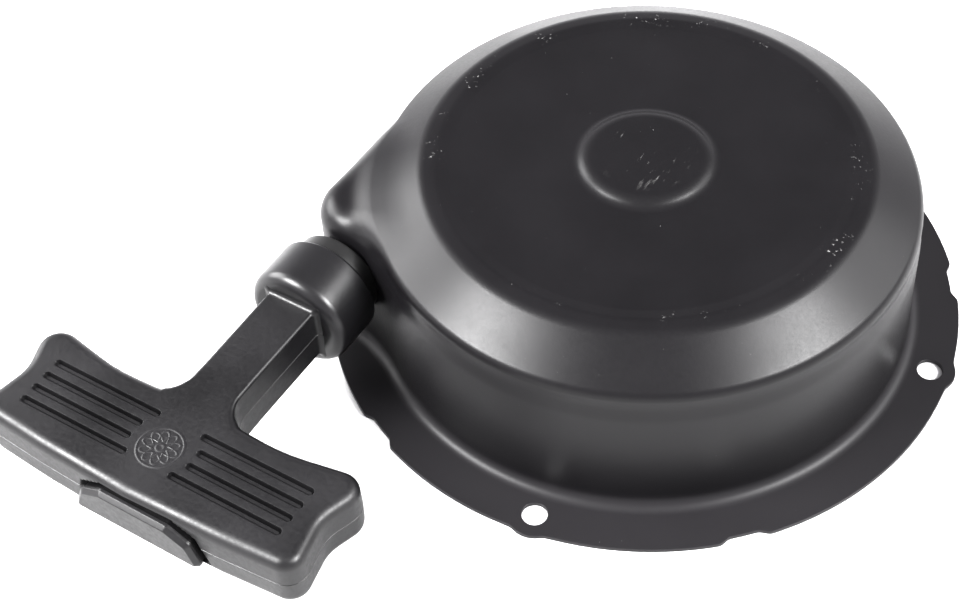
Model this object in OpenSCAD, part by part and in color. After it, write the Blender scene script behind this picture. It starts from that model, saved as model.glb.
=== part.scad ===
// Recoil starter for a small engine: pressed steel case with a tangential rope outlet,
// rope drum with recoil spring, two drive pawls behind a drive plate, and a T grip.
// Millimetres. Origin: crank axis at the underside of the mounting flange. +Z points to
// the closed end of the case and the rope is pulled out along -Y.

/* [Case] */
// Height of the raised rim of the closed end above the mounting face
case_h = 54.4; // [52:0.2:58]
// Radius of the case wall at the flange
wall_r = 75.8; // [75:0.1:77]
// Radius of the flat closed end
top_r = 62.4; // [58:0.2:64]
// Sheet thickness of the pressing
sheet = 1.2; // [1:0.1:1.6]
// Radius of the round mounting flange
flange_r = 90; // [88:0.5:94]

/* [Mounting holes] */
// Bolt circle diameter
bolt_pcd = 168.8; // [164:0.2:172]
// Number of bolts
bolt_count = 4; // [3:1:6]
// Hole diameter, clearance for M6
bolt_hole_d = 7; // [6.4:0.1:8]
// Angle of the first hole from +X
bolt_angle = 9.4; // [0:0.2:20]

/* [Rope outlet] */
// Distance of the rope line from the crank axis
rope_offset = 64.7; // [63:0.1:66]
// Height of the rope line above the mounting face
rope_z = 27; // [26:0.5:28]
// Rope diameter
rope_d = 5; // [4:0.5:5]
// Height of the outlet pocket
pocket_h = 44; // [42:0.5:45]
// Position of the pocket's end face along the pull
pocket_end = 54; // [53:0.5:55]

/* [Grip] */
// Length of the bar across the pull
bar_l = 102; // [90:1:120]
// Thickness of the bar and its stem
grip_t = 17; // [15:0.5:20]
// Distance of the bar's front from the crank axis, along the pull
grip_front = 150; // [146:0.5:156]
// Outer diameter of the seat collar that meets the rope guide
collar_d = 30.8; // [30:0.2:32]

/* [Mechanism] */
// Outer diameter of the rope drum
drum_d = 139; // [136:1:142]
// Turns of rope on the drum at rest
rope_turns = 3; // [2:1:3]
// Coils of recoil spring packed against the drum wall
spring_coils = 8; // [6:1:8]
// Distance of the pawl pins from the crank axis
pawl_pin_r = 26; // [25:0.5:27]
// Swing of the pawls, in degrees
pawl_swing = 45; // [40:1:45]
// Lag of the drive plate behind the drum that swings the pawls out, in degrees
plate_lag = 40; // [36:1:40]

/* [Hidden] */

$fn = 96;
fine = 32;          // segments of small rounds
eps = 0.01;         // overlap that keeps cuts clean
far = 200;          // longer than any part

// Case profile
disc_z = case_h - 0.5;          // sunk disc inside the rim band
disc_r = 55.6;
boss_r = 15.6;                  // flat of the raised centre boss
boss_foot_r = 19;
boss_z = disc_z + 2;
shoulder_z = 43.2;
shoulder_r = 74.7;
flange_fillet = 3.6;
ear_r = 7;
notch_angles = [31.9, 245.1, 316.4];
notch_depth = 1.6;
notch_w = 11.4;

// Outlet pocket: a rounded box whose flank is tangent to the case wall
pocket_x = -65;
pocket_corner = 12.5;
pocket_edge = 6.4;
pocket_y = -pocket_end + pocket_corner;
pad_r = 9.5;                    // flat pad round the guide hole
skirt = 8;                      // flange width round the pocket

// Rope line and guide
rope_x = -rope_offset;
rope_r = rope_d / 2;
guide_sleeve_r = 7;
guide_collar_r = 13;
guide_neck = 1.8;
guide_end = 68;
eyelet_r = 4.2;
clip_t = 1;

// Grip
collar_back = 61.2;
collar_front = 77.3;
collar_edge = 3.2;
collar_floor = 69.4;
grip_clear = 0.4;
stem_half = 7.8;
bar_back = 117.6;
pocket_back = 133;              // back wall of the knot pocket
groove_w = 2;
groove_depth = 1;
groove_rows = [125.5, 130.1, 134.6, 139.1];
groove_inner = [6.7, 8.9, 9, 6.8];
groove_outer = 40.4;
emblem_r = 6.4;
emblem_y = 133.7;
knot_w = 38;                    // width of the knot pocket
cover_w = 40;
cover_h = 11.5;
cover_t = 2.4;
cover_z = 20.7;
cover_back = 149.1;             // floor of the recess behind the cover's plate
cover_shift = 3.5;

// Drum, from the crank axis outwards and from the open side upwards
post_r = 7.5;
run_gap = 0.06;                 // radial running clearance of drum and pawls
hub_r = 13;
hub_z = 29;
floor_z = 34.5;                 // underside of the drum floor
floor_top = 38;
groove_root = rope_offset - rope_r * 2 * (rope_turns - 0.5) + 0.1;
rope_wall_r = groove_root - 3.3;
drum_r = drum_d / 2;
groove_half = 3.25;
cheek = 2;
spring_wall_r = 46.2;
spring_wall_z = 50.2;
spring_z = floor_top + 0.6;
spring_h = 11;
strip = 0.7;
spring_pitch = 1.5;
spring_turns_in = 3;            // coils that cross from the pack to the post
knot_angle = 135;

// Pawls and drive plate
pin_r = 2;
pawl_z = 30.2;
pawl_t = 4;
pawl_arm = 16;
pawl_rest = 118;                // direction of the arm at rest
peg_at = 9;
peg_r = 1.5;
plate_z = 26.4;
plate_t = 2;
plate_r = 33;

// Post end and its fasteners
post_shoulder = 25;
spring_post_r = 9;
stud_r = 3.95;
stud_end = 13.5;
washer_t = 1.6;
lock_t = 1.7;
nut_h = 6.5;
nut_af = 13;

// ---------- shared helpers ----------

function unit(v) = v / norm(v);
function polar(r, a) = [r * cos(a), r * sin(a)];
function left_of(v) = [-v[1], v[0]];

// A path moved sideways by d, with mitred corners
function shifted(path, d) = [
    for (i = [0 : len(path) - 1])
        let (
            before = i == 0 ? path[1] - path[0] : path[i] - path[i - 1],
            after = i == len(path) - 1 ? before : path[i + 1] - path[i],
            n = left_of(unit(before)),
            m = unit(n + left_of(unit(after)))
        )
        path[i] + m * d / (m * n)
];

function reversed(list) = [for (i = [len(list) - 1 : -1 : 0]) list[i]];

// Closed outline of [x, y, radius] corners, each rounded by an arc of 8 steps
function rounded(corners, steps = 8) = [
    for (i = [0 : len(corners) - 1])
        let (
            n = len(corners),
            p = [corners[i][0], corners[i][1]],
            r = corners[i][2],
            a = unit([for (k = [0, 1]) corners[(i + n - 1) % n][k] - p[k]]),
            b = unit([for (k = [0, 1]) corners[(i + 1) % n][k] - p[k]]),
            half = acos(a * b) / 2,
            mid = p + unit(a + b) * r / sin(half),
            start = p + a * r / tan(half) - mid,
            finish = p + b * r / tan(half) - mid,
            from = atan2(start[1], start[0]),
            turn = atan2(finish[1], finish[0]) - from,
            sweep = turn > 180 ? turn - 360 : turn < -180 ? turn + 360 : turn
        )
        for (s = [0 : r > 0 ? steps : 0])
            r > 0 ? mid + polar(r, from + sweep * s / steps) : p
];

// Ring or disc between two heights
module ring(r_out, r_in, z0, z1) {
    translate([0, 0, z0])
        difference() {
            cylinder(r = r_out, h = z1 - z0);
            if (r_in > 0)
                translate([0, 0, -eps]) cylinder(r = r_in, h = z1 - z0 + 2 * eps);
        }
}

// Puts a shape built along +Z on the rope line, starting at distance y0 along the pull
module on_rope(y0) {
    translate([rope_x, -y0, rope_z]) rotate([90, 0, 0]) children();
}

// ---------- case ----------

// Outer surface of the pressing from the centre of the closed end to the flange
case_profile = [
    [0, boss_z], [boss_r, boss_z], [boss_r + 1.2, boss_z - 0.4], [boss_foot_r - 0.6, disc_z + 0.15],
    [boss_foot_r + 0.6, disc_z], [disc_r, disc_z], [disc_r + 1, case_h],
    [top_r, case_h], [top_r + 1.2, case_h - 0.35], [top_r + 2.1, case_h - 1.1],
    [72.4, 46.3], [73.9, 44.8], [shoulder_r, shoulder_z], [shoulder_r, shoulder_z - 1.2],
    [shoulder_r - 0.2, shoulder_z - 2], [shoulder_r + 0.3, shoulder_z - 3.6], [wall_r, sheet + flange_fillet],
    [wall_r + flange_fillet * (1 - cos(30)), sheet + flange_fillet * (1 - sin(30))],
    [wall_r + flange_fillet * (1 - cos(60)), sheet + flange_fillet * (1 - sin(60))],
    [wall_r + flange_fillet, sheet]
];

module case_outside() {
    rotate_extrude()
        polygon(concat(case_profile, [[wall_r + flange_fillet, 0], [0, 0]]));
}

module case_inside() {
    inner = shifted(case_profile, -sheet);
    last = len(inner) - 1;
    rotate_extrude()
        polygon(concat(inner, [[inner[last][0], -1], [0, -1]]));
}

// Direction of the pocket's flank normal: the flank is tangent to the case wall
pocket_centre = [pocket_x, pocket_y];
flank_angle = atan2(pocket_y, pocket_x) - acos((wall_r - pocket_corner) / norm(pocket_centre));

// Plan of the pocket, grown by g
module pocket_plan(g) {
    corner = pocket_corner + g;
    polygon([
        [-30, 0], polar(wall_r + g, flank_angle), pocket_centre + polar(corner, flank_angle),
        pocket_centre, pocket_centre + [0, -corner], [-40, pocket_y - corner], [-30, -30]
    ]);
    translate(pocket_centre) circle(r = corner);
}

// Side view of a rounded top edge: the wall is at x = 0 and the pocket lies at negative x
module edge_section(edge, high, z0) {
    lead = 8;       // the arc starts this far up and runs on outwards, clear of the wall
    first = [edge * (cos(lead) - 1), high - edge + edge * sin(lead)];
    polygon(concat(
        [[-90, z0], [3, z0], [3, first[1] - (3 - first[0]) / tan(lead)]],
        [for (a = [lead : (90 - lead) / 7 : 90.1]) [edge * (cos(a) - 1), high - edge + edge * sin(a)]],
        [[-90, high]]
    ));
}

// Cuts the sharp line left where the two rounded edges meet round the pocket's corner
module corner_cut(edge, high) {
    spine = pocket_corner - pocket_edge;
    arc = edge + 0.1;
    low = high - edge;
    translate([pocket_x, pocket_y, low])
        rotate(flank_angle)
            rotate_extrude(angle = -90 - flank_angle)
                polygon(concat(
                    [for (a = [0 : 9 : 90]) [spine + arc * cos(a), arc * sin(a)]],
                    [[spine, arc + 3], [spine + arc + 3, arc + 3], [spine + arc + 3, 0]]
                ));
}

// Solid of the pocket with rounded top edges, grown by g, from height z0
module pocket_solid(g, z0) {
    edge = pocket_edge + g;
    high = pocket_h + g;
    difference() {
        intersection() {
            translate([0, 0, z0]) linear_extrude(high - z0 + 1) pocket_plan(g);
            // rounded edge along the flank
            rotate(flank_angle) translate([wall_r + g, 110, 0]) rotate([90, 0, 0])
                linear_extrude(220) edge_section(edge, high, z0 - 1);
            // rounded edge along the end face
            translate([-110, -pocket_end - g, 0]) rotate([90, 0, -90]) mirror([0, 0, 1])
                linear_extrude(220) edge_section(edge, high, z0 - 1);
        }
        corner_cut(edge, high);
    }
}

module case_flange() {
    linear_extrude(sheet)
        difference() {
            union() {
                circle(r = flange_r, $fn = 180);
                for (i = [0 : bolt_count - 1])
                    rotate(bolt_angle + 360 / bolt_count * i)
                        translate([bolt_pcd / 2, 0]) circle(r = ear_r, $fn = fine * 2);
                pocket_plan(skirt);
            }
            for (a = notch_angles)
                rotate(a) translate([flange_r - notch_depth, -notch_w / 2]) square([10, notch_w]);
        }
}

module case() {
    color([0.09, 0.09, 0.095])
        difference() {
            union() {
                case_outside();
                pocket_solid(0, 0);
                on_rope(40) cylinder(r = pad_r, h = pocket_end - 40);
                case_flange();
            }
            case_inside();
            pocket_solid(-sheet, -1);
            on_rope(36) cylinder(r = pad_r - sheet, h = pocket_end - sheet - 36);
            on_rope(40) cylinder(r = guide_sleeve_r + 0.05, h = 30);
            for (i = [0 : bolt_count - 1])
                rotate(bolt_angle + 360 / bolt_count * i)
                    translate([bolt_pcd / 2, 0, -1]) cylinder(d = bolt_hole_d, h = sheet + 2);
        }
}

module center_post() {
    base_z = disc_z - sheet - 1.5;
    color([0.62, 0.62, 0.6])
        difference() {
            union() {
                ring(boss_r - 1.2, 0, base_z, boss_z - sheet);
                ring(spring_post_r, 0, floor_top + 0.2, base_z);
                ring(post_r, 0, post_shoulder, floor_top + 0.2);
                ring(stud_r, 0, stud_end, post_shoulder);
            }
            // slot that takes the inner end of the recoil spring
            translate([0, -0.8, spring_z - 0.2]) cube([far, 1.6, spring_h + 0.4]);
        }
}

// ---------- rope guide ----------

module rope_guide() {
    inner_len = 6;
    seat = pocket_end + guide_neck;
    color([0.07, 0.07, 0.07])
        difference() {
            on_rope(pocket_end - inner_len) {
                cylinder(r = guide_sleeve_r, h = inner_len + guide_neck);
                translate([0, 0, inner_len]) cylinder(r = pad_r, h = guide_neck);
                translate([0, 0, seat - pocket_end + inner_len])
                    cylinder(r = guide_collar_r, h = guide_end - seat - 1);
                translate([0, 0, guide_end - 1 - pocket_end + inner_len])
                    cylinder(r1 = guide_collar_r, r2 = guide_collar_r - 1, h = 1);
            }
            on_rope(40) cylinder(r = eyelet_r + 0.05, h = 40);
            on_rope(pocket_end - sheet - clip_t - 0.15) ring(12, guide_sleeve_r - 1, 0, clip_t + 0.1);
        }
}

module guide_clip() {
    color([0.55, 0.55, 0.53])
        on_rope(pocket_end - sheet - clip_t - 0.1)
            difference() {
                ring(guide_sleeve_r + 1.2, guide_sleeve_r - 0.9, 0, clip_t);
                translate([-2.5, 0, -1]) cube([5, 20, 4]);
            }
}

module guide_eyelet() {
    lip = 0.8;
    color([0.7, 0.7, 0.68])
        on_rope(pocket_end - 8)
            difference() {
                union() {
                    cylinder(r = eyelet_r, h = guide_end - pocket_end + 8 + eps);
                    translate([0, 0, guide_end - pocket_end + 8]) cylinder(r = eyelet_r + 2, h = lip);
                }
                translate([0, 0, -1]) cylinder(r = rope_r + 0.45, h = 40);
            }
}

// ---------- fasteners on the post ----------

module thrust_washer() {
    color([0.75, 0.75, 0.73])
        ring(13, stud_r + 0.15, post_shoulder - washer_t, post_shoulder);
}

module wave_washer() {
    color([0.6, 0.6, 0.58])
        ring(12.4, post_r + 0.6, post_shoulder, plate_z);
}

module lock_washer() {
    top = post_shoulder - washer_t;
    color([0.66, 0.66, 0.64])
        difference() {
            ring(6.9, stud_r + 0.15, top - lock_t, top);
            rotate([20, 0, 35]) translate([0, -0.5, 0]) cube([far, 1, far]);
        }
}

module post_nut() {
    top = post_shoulder - washer_t - lock_t;
    color([0.78, 0.77, 0.72])
        difference() {
            translate([0, 0, top - nut_h])
                cylinder(d = nut_af / cos(30), h = nut_h, $fn = 6);
            translate([0, 0, top - nut_h - 1]) cylinder(r = stud_r + 0.05, h = nut_h + 2);
        }
}

// ---------- drum ----------

module drum() {
    low = rope_z - groove_half;
    high = rope_z + groove_half;
    bore = post_r + run_gap;
    color([0.13, 0.13, 0.14])
        difference() {
            rotate_extrude()
                polygon([
                    [bore, hub_z], [hub_r, hub_z], [hub_r, floor_z], [rope_wall_r, floor_z],
                    [rope_wall_r, low - cheek], [drum_r, low - cheek], [drum_r, low],
                    [groove_root, low], [groove_root, high], [drum_r, high], [drum_r, high + cheek],
                    [groove_root, high + cheek], [groove_root, floor_top], [rope_wall_r, floor_top],
                    [rope_wall_r, spring_wall_z], [spring_wall_r, spring_wall_z],
                    [spring_wall_r, floor_top], [bore, floor_top]
                ]);
            for (side = [0, 1])
                rotate(180 * side)
                    translate([pawl_pin_r, 0, floor_z - 1]) cylinder(r = pin_r, h = 4.4);
            // hole for the rope's inner end
            translate([0, 0, rope_z]) rotate([0, 90, knot_angle])
                translate([0, 0, 40]) cylinder(r = rope_r + 0.1, h = 20);
            // notch for the outer end of the spring
            translate([spring_wall_r - 1, -1, spring_z - 0.3]) cube([6, 3, far]);
        }
}

// Centre line of the recoil spring: a pack of close coils, then wide coils to the post
spring_step = 15;
spring_r0 = spring_wall_r - 2.2;
pack_sweep = 360 * spring_coils;
cross_sweep = 360 * spring_turns_in;
spring_r1 = spring_r0 - spring_pitch * spring_coils;
function spring_radius(a) =
    a < pack_sweep
        ? spring_r0 - spring_pitch * a / 360
        : spring_r1 - (spring_r1 - spring_post_r - 0.9) * (a - pack_sweep) / cross_sweep;
function spring_side(d) = [
    for (a = [0 : spring_step : pack_sweep + cross_sweep]) polar(spring_radius(a) + d, a)
];

module recoil_spring() {
    half = strip / 2;
    color([0.35, 0.37, 0.42])
        translate([0, 0, spring_z])
            linear_extrude(spring_h) {
                polygon(concat(spring_side(half), reversed(spring_side(-half))));
                // outer hook in the drum's notch and inner tongue in the post's slot
                translate([spring_r0 - half, -half]) square([4.2, strip]);
                translate([spring_post_r - 4, -half]) square([5, strip]);
            }
}

module rope_coil() {
    tube = rope_r - 0.05;
    outer_open = 25;
    color([0.62, 0.6, 0.56])
        translate([0, 0, rope_z])
            for (i = [0 : rope_turns - 1])
                rotate(i == 0 ? 180 + outer_open : 0)
                    rotate_extrude(angle = i == 0 ? 360 - outer_open : 360)
                        translate([rope_offset - i * (2 * tube + 0.05), 0])
                            circle(r = tube, $fn = fine);
}

module drum_knot() {
    color([0.62, 0.6, 0.56])
        translate([0, 0, rope_z]) rotate([0, 90, knot_angle]) {
            translate([0, 0, rope_wall_r - 4.4]) sphere(r = 4.3, $fn = fine * 2);
            translate([0, 0, rope_wall_r - 4]) cylinder(r = rope_r - 0.05, h = 7);
        }
}

module pawl_pins() {
    color([0.72, 0.72, 0.7])
        for (side = [0, 1])
            rotate(180 * side) translate([pawl_pin_r, 0, 0]) ring(pin_r, 0, 28.7, floor_z + 3.4);
}

module pawl_springs() {
    wire = 0.64;
    coil_r = 3.4;
    coil_h = 1.3;
    z0 = pawl_z - coil_h - 0.15;
    color([0.7, 0.7, 0.72])
        for (side = [0, 1])
            rotate(180 * side) translate([pawl_pin_r, 0, z0]) {
                ring(coil_r + wire / 2, coil_r - wire / 2, 0, coil_h);
                // legs: one along the pawl's outer side, one bearing on the hub
                translate([coil_r - wire / 2, 0, coil_h - wire]) cube([wire, 11, wire]);
                translate([-12.5, -coil_r - wire / 2, 0]) cube([12.5, wire, wire]);
            }
}

// ---------- drive plate and pawls ----------

// Peg of a pawl at stage t of its swing, seen from the drive plate
function peg_path(t) =
    let (
        p = [pawl_pin_r, 0] + polar(peg_at, pawl_rest - pawl_swing * t),
        turn = plate_lag * t
    )
    [p[0] * cos(turn) - p[1] * sin(turn), p[0] * sin(turn) + p[1] * cos(turn)];

module drive_plate() {
    slot = peg_r + 0.5;
    track = [for (i = [-1 : 13]) peg_path(i / 12)];
    color([0.74, 0.72, 0.64])
        difference() {
            union() {
                ring(plate_r, 0, plate_z, plate_z + plate_t);
                ring(plate_r - 2, plate_r - 4, plate_z - 0.8, plate_z + plate_t);
            }
            translate([0, 0, plate_z - 2]) cylinder(r = post_r + 0.1, h = 6);
            for (side = [0, 1])
                rotate(180 * side)
                    translate([0, 0, plate_z - 2]) {
                        linear_extrude(6) polygon(concat(shifted(track, slot), reversed(shifted(track, -slot))));
                        // lightening hole
                        rotate(115) translate([20, 0, 0]) cylinder(r = 5, h = 6);
                    }
        }
}

module pawl() {
    tip = polar(pawl_arm, pawl_rest);
    across = left_of(unit(tip));
    translate([pawl_pin_r, 0, 0])
        difference() {
            union() {
                ring(4.8, 0, pawl_z, pawl_z + pawl_t);
                translate([0, 0, pawl_z])
                    linear_extrude(pawl_t)
                        polygon([across * 4.2, tip + across * 1.6, tip * 1.06 - across * 1.8, tip * 0.8 - across * 3.4,
                            -across * 4.6]);
                translate(polar(peg_at, pawl_rest)) ring(peg_r, 0, plate_z + 0.2, pawl_z + eps);
            }
            translate([0, 0, pawl_z - 1]) cylinder(r = pin_r + run_gap, h = pawl_t + 2);
        }
}

module pawl_a() {
    color([0.5, 0.5, 0.5]) pawl();
}

module pawl_b() {
    color([0.5, 0.5, 0.5]) rotate(180) pawl();
}

// ---------- grip ----------

// Right half of the grip's outline as [x, distance along the pull, corner radius]
function grip_half() =
    let (end = bar_l / 2)
    [
        [stem_half, collar_front - 4, 0], [stem_half - 0.2, 104, 40], [stem_half, bar_back - 0.4, 7],
        [27, bar_back + 0.4, 60], [end + 3, bar_back - 4.4, 6], [end - 3, 130.5, 12],
        [end + 0.2, grip_front - 3, 5.5]
    ];

module grip_outline() {
    half = grip_half();
    right = [for (c = half) [c[0], -c[1], c[2]]];
    left = [for (c = reversed(half)) [-c[0], -c[1], c[2]]];
    polygon(rounded(concat(right, [[0, -grip_front - 0.8, 380]], left)));
}

module groove(row, side) {
    start = groove_inner[row] + groove_w / 2;
    translate([0, -groove_rows[row]]) mirror([side, 0]) {
        translate([start, -groove_w / 2]) square([groove_outer - start, groove_w]);
        translate([start, 0]) circle(d = groove_w, $fn = fine);
        translate([groove_outer, 0]) circle(d = groove_w, $fn = fine);
    }
}

module grip() {
    top = rope_z + grip_t / 2;
    collar_r = collar_d / 2;
    collar_l = collar_front - collar_back;
    color([0.1, 0.1, 0.11])
        difference() {
            union() {
                translate([rope_x, 0, rope_z - grip_t / 2]) linear_extrude(grip_t) grip_outline();
                on_rope(collar_back)
                    rotate_extrude() {
                        square([collar_r, collar_l - collar_edge]);
                        square([collar_r - collar_edge, collar_l]);
                        translate([collar_r - collar_edge, collar_l - collar_edge]) intersection() {
                            circle(r = collar_edge, $fn = fine * 2);
                            square(collar_edge);
                        }
                    }
            }
            on_rope(collar_back - 1) cylinder(r = guide_collar_r + grip_clear, h = collar_floor - collar_back + 1);
            on_rope(60) cylinder(r = rope_r + 0.5, h = pocket_back - 59);
            // knot pocket, open at the front
            translate([rope_x - knot_w / 2, -grip_front - 5, rope_z - 6.5])
                cube([knot_w, grip_front + 5 - pocket_back, 13]);
            translate([rope_x, 0, top - groove_depth])
                linear_extrude(5)
                    for (row = [0 : 3], side = [0, 1]) groove(row, side);
            // recess that takes the edge of the cover
            translate([rope_x + cover_shift - cover_w / 2 - 0.3, -grip_front - 5, cover_z - 0.2])
                cube([cover_w + 0.6, grip_front + 5 - cover_back, cover_h + 0.5]);
            // shallow round emblem recess
            translate([rope_x, -emblem_y, top - 0.4]) ring(emblem_r, emblem_r - 0.8, 0, 2);
        }
}

module grip_cover() {
    half = cover_w / 2;
    leg_back = pocket_back + 3;
    color([0.1, 0.1, 0.11])
        translate([rope_x, 0, cover_z]) {
            // face plate with sloping ends
            translate([cover_shift, -cover_back - 0.1, 0]) rotate([90, 0, 0])
                linear_extrude(cover_t)
                    polygon([
                        [-half, 0], [half, 0], [half, 1], [half - 3, cover_h - 3], [half - 9.5, cover_h],
                        [-half + 9.5, cover_h], [-half + 3, cover_h - 3], [-half, 1]
                    ]);
            // two snap legs inside the pocket
            for (side = [-1, 1])
                translate([side * (knot_w / 2 - 2) - 1, -cover_back - 0.2, 2])
                    cube([2, cover_back - leg_back, cover_h - 6]);
        }
}

module knot_cup() {
    color([0.72, 0.72, 0.7])
        on_rope(pocket_back + 0.05)
            difference() {
                union() {
                    cylinder(r = 6, h = 1.2);
                    ring(6, 5.2, 0, 3);
                }
                translate([0, 0, -1]) cylinder(r = rope_r + 0.2, h = 4);
            }
}

module grip_knot() {
    color([0.62, 0.6, 0.56])
        on_rope(pocket_back + 6.2)
            rotate([38, 30, 0]) {
                sphere(r = 4.8, $fn = fine * 2);
                cylinder(r = rope_r - 0.1, h = 7.6);
            }
}

// Straight run of rope from the drum, through the guide, to the knot
module rope_lead() {
    run_start = 0.6;
    color([0.62, 0.6, 0.56])
        on_rope(run_start) cylinder(r = rope_r, h = pocket_back + 1.3 - run_start);
}

case();
center_post();
rope_guide();
guide_clip();
guide_eyelet();
thrust_washer();
wave_washer();
lock_washer();
post_nut();
drum();
recoil_spring();
rope_coil();
drum_knot();
pawl_pins();
pawl_springs();
drive_plate();
pawl_a();
pawl_b();
grip();
grip_cover();
knot_cup();
grip_knot();
rope_lead();
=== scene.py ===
"""Looks of a recoil starter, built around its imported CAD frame.

Shape helpers take millimetres; objects are made in metres in the CAD's own frame.
"""

import math

import bmesh
import bpy
import numpy as np
from mathutils import Matrix, Vector
from mathutils.geometry import delaunay_2d_cdt


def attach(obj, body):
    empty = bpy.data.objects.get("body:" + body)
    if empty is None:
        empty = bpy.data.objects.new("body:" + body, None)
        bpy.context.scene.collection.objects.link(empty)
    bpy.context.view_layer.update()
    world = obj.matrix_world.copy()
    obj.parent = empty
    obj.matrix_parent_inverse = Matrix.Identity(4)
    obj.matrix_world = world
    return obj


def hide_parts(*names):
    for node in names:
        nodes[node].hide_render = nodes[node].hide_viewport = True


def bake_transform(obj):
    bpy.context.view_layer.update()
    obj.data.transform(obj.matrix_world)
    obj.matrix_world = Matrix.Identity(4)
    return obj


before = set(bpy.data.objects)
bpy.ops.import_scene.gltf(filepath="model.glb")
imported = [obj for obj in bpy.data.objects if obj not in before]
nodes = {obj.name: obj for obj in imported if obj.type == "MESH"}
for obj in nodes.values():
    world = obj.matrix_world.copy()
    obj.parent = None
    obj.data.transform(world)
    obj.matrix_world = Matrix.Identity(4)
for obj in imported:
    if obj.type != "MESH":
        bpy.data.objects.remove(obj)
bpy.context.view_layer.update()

MM = 0.001
ROPE_X, ROPE_Z = -64.7, 27.0
SHEET = 1.2
ROPE_PITCH = 0.00495     # metres from one wound turn of rope to the next


# ---------- mesh helpers ----------

def make_object(name, verts, faces, sharp=None, weighted=False):
    """Smooth-shaded mesh object from millimetre points; edges sharper than `sharp` degrees stay crisp."""
    mesh = bpy.data.meshes.new(name)
    mesh.from_pydata((np.asarray(verts, float) * MM).tolist(), [], faces)
    bm = bmesh.new()
    bm.from_mesh(mesh)
    bmesh.ops.remove_doubles(bm, verts=bm.verts, dist=1e-7)
    bmesh.ops.dissolve_degenerate(bm, edges=bm.edges, dist=1e-7)
    bmesh.ops.recalc_face_normals(bm, faces=bm.faces)
    bm.to_mesh(mesh)
    bm.free()
    mesh.shade_smooth()
    if sharp:
        mesh.set_sharp_from_angle(angle=math.radians(sharp))
    obj = bpy.data.objects.new(name, mesh)
    bpy.context.scene.collection.objects.link(obj)
    if weighted:
        obj.modifiers.new("normals", "WEIGHTED_NORMAL").keep_sharp = True
    return obj


def rounded_path(corners, closed=False, turn=9.0, longest=4.0):
    """Points along straight lines through [x, y, radius] corners, with each corner rounded."""
    n = len(corners)
    pts = []
    for i, (x, y, radius) in enumerate(corners):
        p = np.array([x, y], float)
        if not closed and i in (0, n - 1) or radius <= 0:
            pts.append(p)
            continue
        a = np.array(corners[i - 1][:2], float) - p
        b = np.array(corners[(i + 1) % n][:2], float) - p
        a /= np.linalg.norm(a)
        b /= np.linalg.norm(b)
        half = math.acos(np.clip(a @ b, -1, 1)) / 2
        mid = p + (a + b) / np.linalg.norm(a + b) * radius / math.sin(half)
        start = p + a * radius / math.tan(half) - mid
        stop = p + b * radius / math.tan(half) - mid
        first = math.atan2(start[1], start[0])
        sweep = (math.atan2(stop[1], stop[0]) - first + math.pi) % (2 * math.pi) - math.pi
        steps = max(2, math.ceil(abs(math.degrees(sweep)) / turn))
        for k in range(steps + 1):
            bearing = first + sweep * k / steps
            pts.append(mid + radius * np.array([math.cos(bearing), math.sin(bearing)]))
    if closed:
        pts.append(pts[0])
    out = [pts[0]]
    for p in pts[1:]:
        gap = np.linalg.norm(p - out[-1])
        if gap < 1e-6:
            continue
        last, cuts = out[-1], math.ceil(gap / longest)
        out += [last + (p - last) * k / cuts for k in range(1, cuts + 1)]
    return np.array(out[:-1] if closed else out)


def grid_faces(rows, cols, start=0, wrap=True):
    """Quads of a grid of rows x cols points numbered from start; columns wrap round when wrap is true."""
    last = cols if wrap else cols - 1
    return [
        (start + r * cols + c, start + r * cols + (c + 1) % cols,
         start + (r + 1) * cols + (c + 1) % cols, start + (r + 1) * cols + c)
        for r in range(rows - 1) for c in range(last)
    ]


def lathe(name, profile, axis="z", origin=(0, 0, 0), steps=96, **kw):
    """Turns a closed or axis-to-axis profile of (radius, height) points round an axis."""
    profile = np.asarray(profile, float)
    a = np.arange(steps) * 2 * math.pi / steps
    r, h = profile[:, 0][:, None], profile[:, 1][:, None] + 0 * a
    x, y = r * np.cos(a), r * np.sin(a)
    if axis == "z":
        pts = np.stack([x, y, h], -1)
    else:  # along the rope, height counts along -Y
        pts = np.stack([x, -h, y], -1)
    pts = pts + np.array(origin, float)
    closed = profile[0][0] > 1e-6 and profile[-1][0] > 1e-6
    verts = pts.reshape(-1, 3)
    faces = grid_faces(len(profile), steps)
    if closed:
        end = (len(profile) - 1) * steps
        faces += [(end + c, end + (c + 1) % steps, (c + 1) % steps, c) for c in range(steps)]
    return make_object(name, verts, faces, **kw)


def fill(rings, extra=()):
    """Triangles between an outer ring of points and the rings inside it; points keep the order given."""
    flat, edges = [], []
    for ring in rings:
        base, n = len(flat), len(ring)
        flat += [Vector((float(p[0]), float(p[1]))) for p in ring]
        edges += [(base + i, base + (i + 1) % n) for i in range(n)]
    flat += [Vector((float(p[0]), float(p[1]))) for p in extra]
    faces, origin = delaunay_2d_cdt(flat, edges, [], 1, 1e-7, True)[2:4]
    back = [o[0] if o else -1 for o in origin]
    faces = np.array([[back[i] for i in f] for f in faces if len(f) == 3])
    pts = np.array([[p.x, p.y] for p in flat])
    mid = pts[faces].mean(1)
    a, b = pts[[e[0] for e in edges]], pts[[e[1] for e in edges]]
    spans = (a[:, 1] > mid[:, 1:]) != (b[:, 1] > mid[:, 1:])
    rise = np.where(a[:, 1] == b[:, 1], 1e-12, b[:, 1] - a[:, 1])
    cuts = spans & (mid[:, :1] < a[:, 0] + (mid[:, 1:] - a[:, 1]) * (b[:, 0] - a[:, 0]) / rise)
    keep = (cuts.sum(1) % 2 == 1) & (faces.min(1) >= 0)
    return [tuple(int(i) for i in f) for f in faces[keep]]


# ---------- materials ----------

def add(tree, kind, **values):
    node = tree.nodes.new(kind)
    for key, value in values.items():
        if key in node.inputs:
            node.inputs[key].default_value = value
        else:
            setattr(node, key, value)
    return node


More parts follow.
